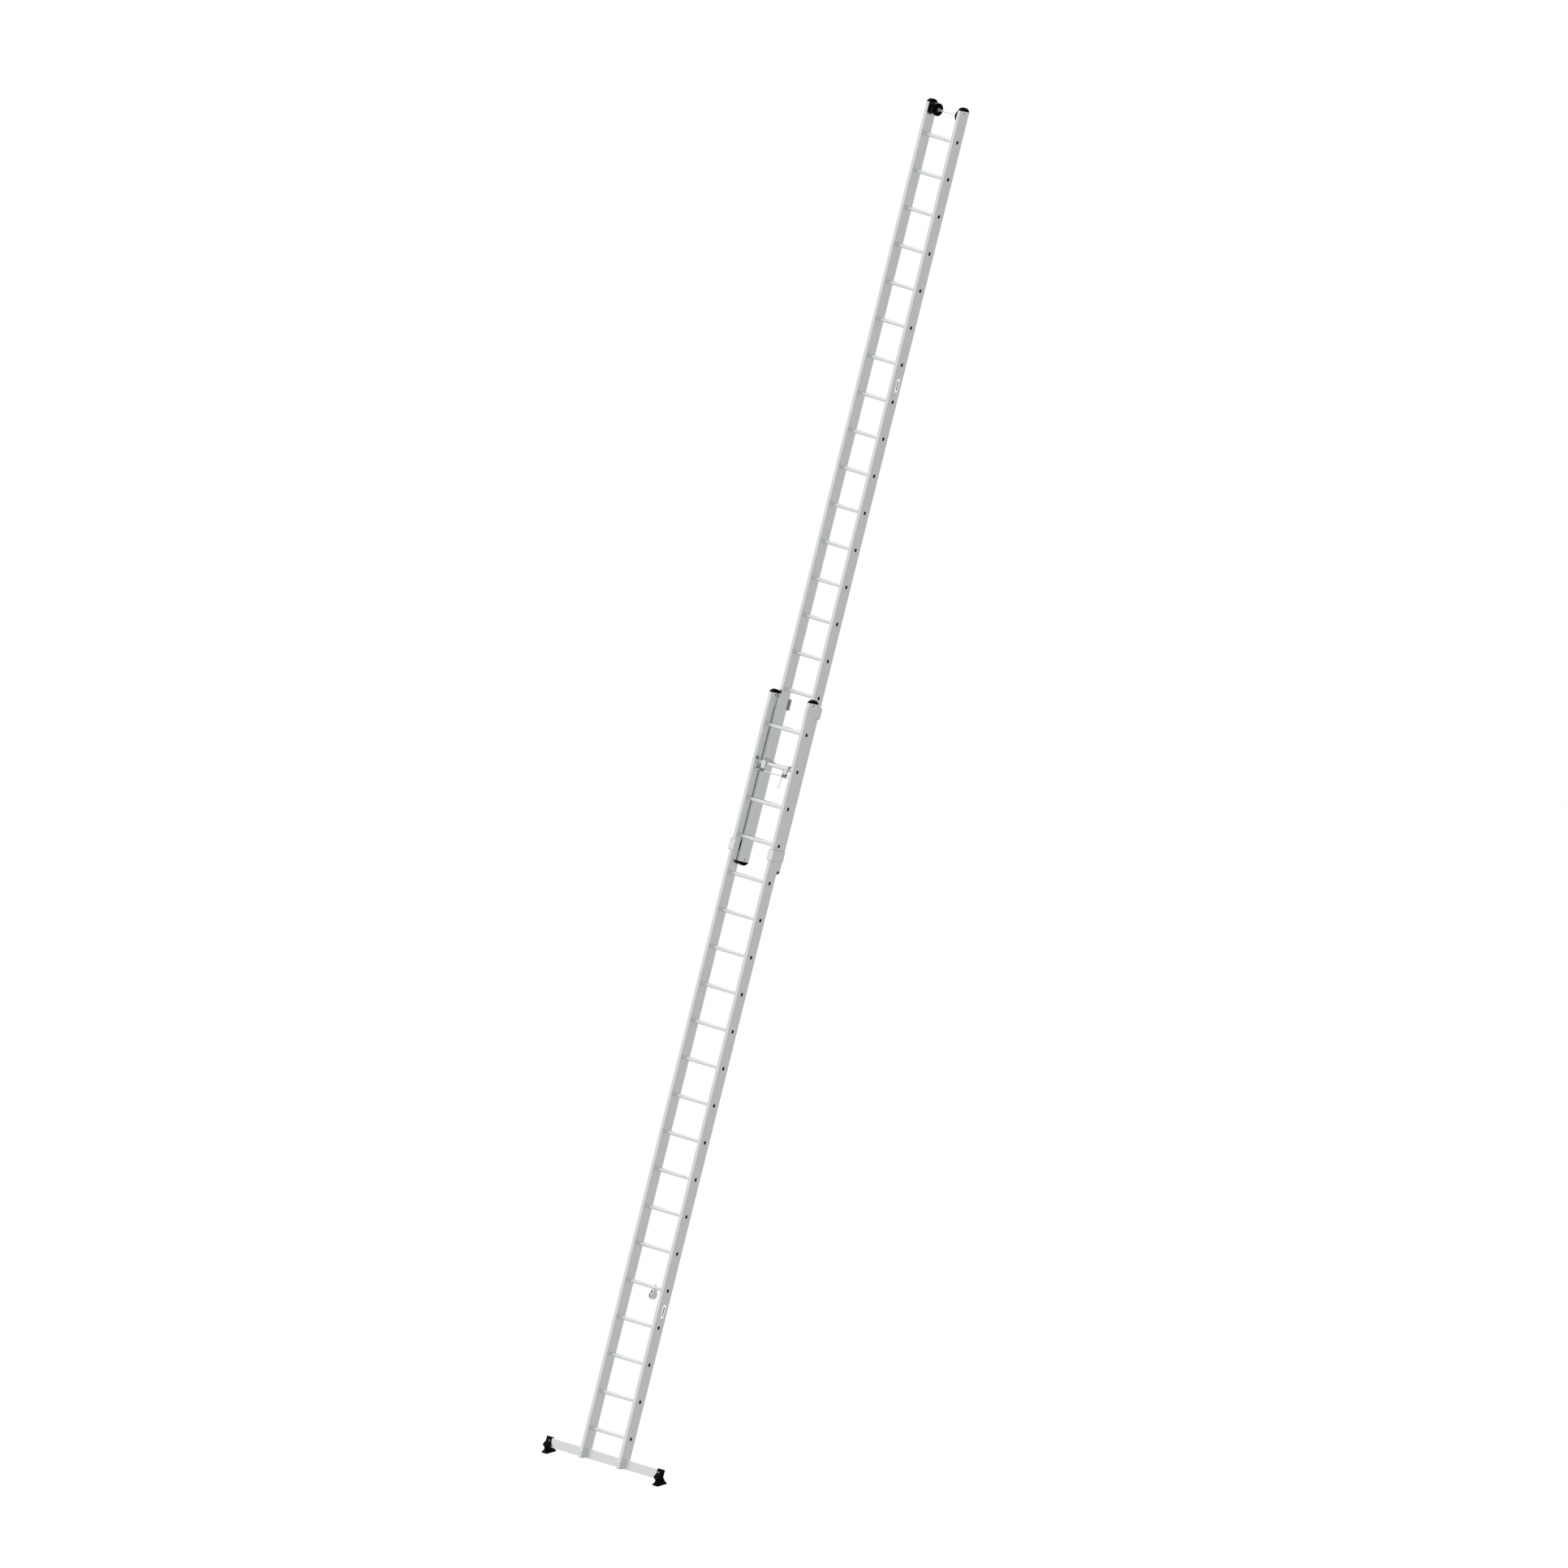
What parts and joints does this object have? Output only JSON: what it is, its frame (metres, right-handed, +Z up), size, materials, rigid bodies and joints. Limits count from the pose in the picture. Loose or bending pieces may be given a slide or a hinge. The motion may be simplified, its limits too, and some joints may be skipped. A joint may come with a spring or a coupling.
{
  "type": "extension ladder",
  "caption": "Two-section rope-operated aluminium extension ladder, fully extended and leaning, with a wide base bar, rung latch and wall rollers.",
  "frame": {"origin": "on the floor, midway between the middles of the two soles", "axes": "+Z up, +X to the right of a climber who faces the ladder, +Y away from the climber: the ladder leans towards +Y at 70 degrees to the floor"},
  "size_m": [1.2, 3.6771, 9.6922],
  "materials": {
    "bar_aluminium": "extruded, satin",
    "cap_plastic": "moulded black",
    "glide_plastic": "moulded black, low friction",
    "guide_aluminium": "pressed sheet, satin",
    "hook_metal": "zinc plated",
    "hub_plastic": "grey moulded",
    "label_film": "white film, blank",
    "latch_plastic": "moulded black",
    "plug_plastic": "moulded black",
    "pulley_metal": "cast, light grey, satin",
    "rivet_aluminium": "drawn, semi-bright",
    "rung_aluminium": "extruded and ribbed, satin",
    "shoe_plastic": "moulded black, fine grain",
    "sole_rubber": "black, grooved",
    "stile_aluminium": "extruded, satin, fine lengthwise die lines",
    "wheel_rubber": "black, soft tread",
    "zinc_steel": "bright zinc plated"
  },
  "bodies": {
    "lower_section": {"base_bar": "bar_aluminium", "base_bar_bolts": "zinc_steel", "base_bar_nuts": "zinc_steel", "leg_plug_left": "plug_plastic", "leg_plug_right": "plug_plastic", "lower_label": "label_film", "lower_rung_plugs_left": "plug_plastic", "lower_rung_plugs_right": "plug_plastic", "lower_rungs": "rung_aluminium", "lower_stile_left": "stile_aluminium", "lower_stile_right": "stile_aluminium", "lower_top_cap_left": "cap_plastic", "lower_top_cap_right": "cap_plastic", "pulley_axle": "zinc_steel", "pulley_block": "pulley_metal", "pulley_bolt": "zinc_steel", "pulley_nut": "zinc_steel", "shoe_left": "shoe_plastic", "shoe_right": "shoe_plastic", "shoe_rivets": "rivet_aluminium", "sole_left": "sole_rubber", "sole_right": "sole_rubber", "top_glide_left": "glide_plastic", "top_glide_right": "glide_plastic", "top_guide_left": "guide_aluminium", "top_guide_right": "guide_aluminium", "top_guide_rivets": "rivet_aluminium"},
    "upper_section": {"upper_stile_left": "stile_aluminium", "upper_stile_right": "stile_aluminium", "upper_rungs": "rung_aluminium", "upper_rung_plugs_left": "plug_plastic", "upper_rung_plugs_right": "plug_plastic", "upper_top_cap_left": "cap_plastic", "upper_top_cap_right": "cap_plastic", "upper_bottom_cap_left": "cap_plastic", "upper_bottom_cap_right": "cap_plastic", "upper_label": "label_film", "bottom_guide_left": "guide_aluminium", "bottom_guide_right": "guide_aluminium", "bottom_glide_left": "glide_plastic", "bottom_glide_right": "glide_plastic", "bottom_guide_rivets": "rivet_aluminium", "roller_axle": "zinc_steel", "roller_spacers": "zinc_steel", "roller_clips": "zinc_steel", "latch_bracket_left": "zinc_steel", "latch_bracket_right": "zinc_steel", "latch_pins": "zinc_steel"},
    "latch": {"latch_hook_left": "hook_metal", "latch_hook_right": "hook_metal", "latch_block_left": "latch_plastic", "latch_block_right": "latch_plastic", "latch_rod": "zinc_steel", "trip_wire": "zinc_steel"},
    "wall_roller_left": {"roller_wheel_left": "wheel_rubber", "roller_hub_left": "hub_plastic"},
    "wall_roller_right": {"roller_wheel_right": "wheel_rubber", "roller_hub_right": "hub_plastic"},
    "sheave": {"pulley_sheave": "pulley_metal"}
  },
  "joints": [
    {"name": "extension_slide", "type": "slide", "parent": "lower_section", "child": "upper_section", "axis": [0, 0.342, 0.9397], "range_m": [-4.48, 0]},
    {"name": "latch_swing", "type": "hinge", "parent": "upper_section", "child": "latch", "pos_m": [0, 1.83884, 5.00256], "axis": [-1, 0, 0], "range_deg": [0, 70]},
    {"name": "roller_left_spin", "type": "hinge", "parent": "upper_section", "child": "wall_roller_left", "pos_m": [-0.114, 3.57121, 9.6131], "axis": [1, 0, 0], "continuous": true},
    {"name": "roller_right_spin", "type": "hinge", "parent": "upper_section", "child": "wall_roller_right", "pos_m": [0.114, 3.57121, 9.6131], "axis": [1, 0, 0], "continuous": true},
    {"name": "sheave_spin", "type": "hinge", "parent": "lower_section", "child": "sheave", "pos_m": [0.077, 0.42817, 1.25397], "axis": [1, 0, 0], "continuous": true}
  ]
}
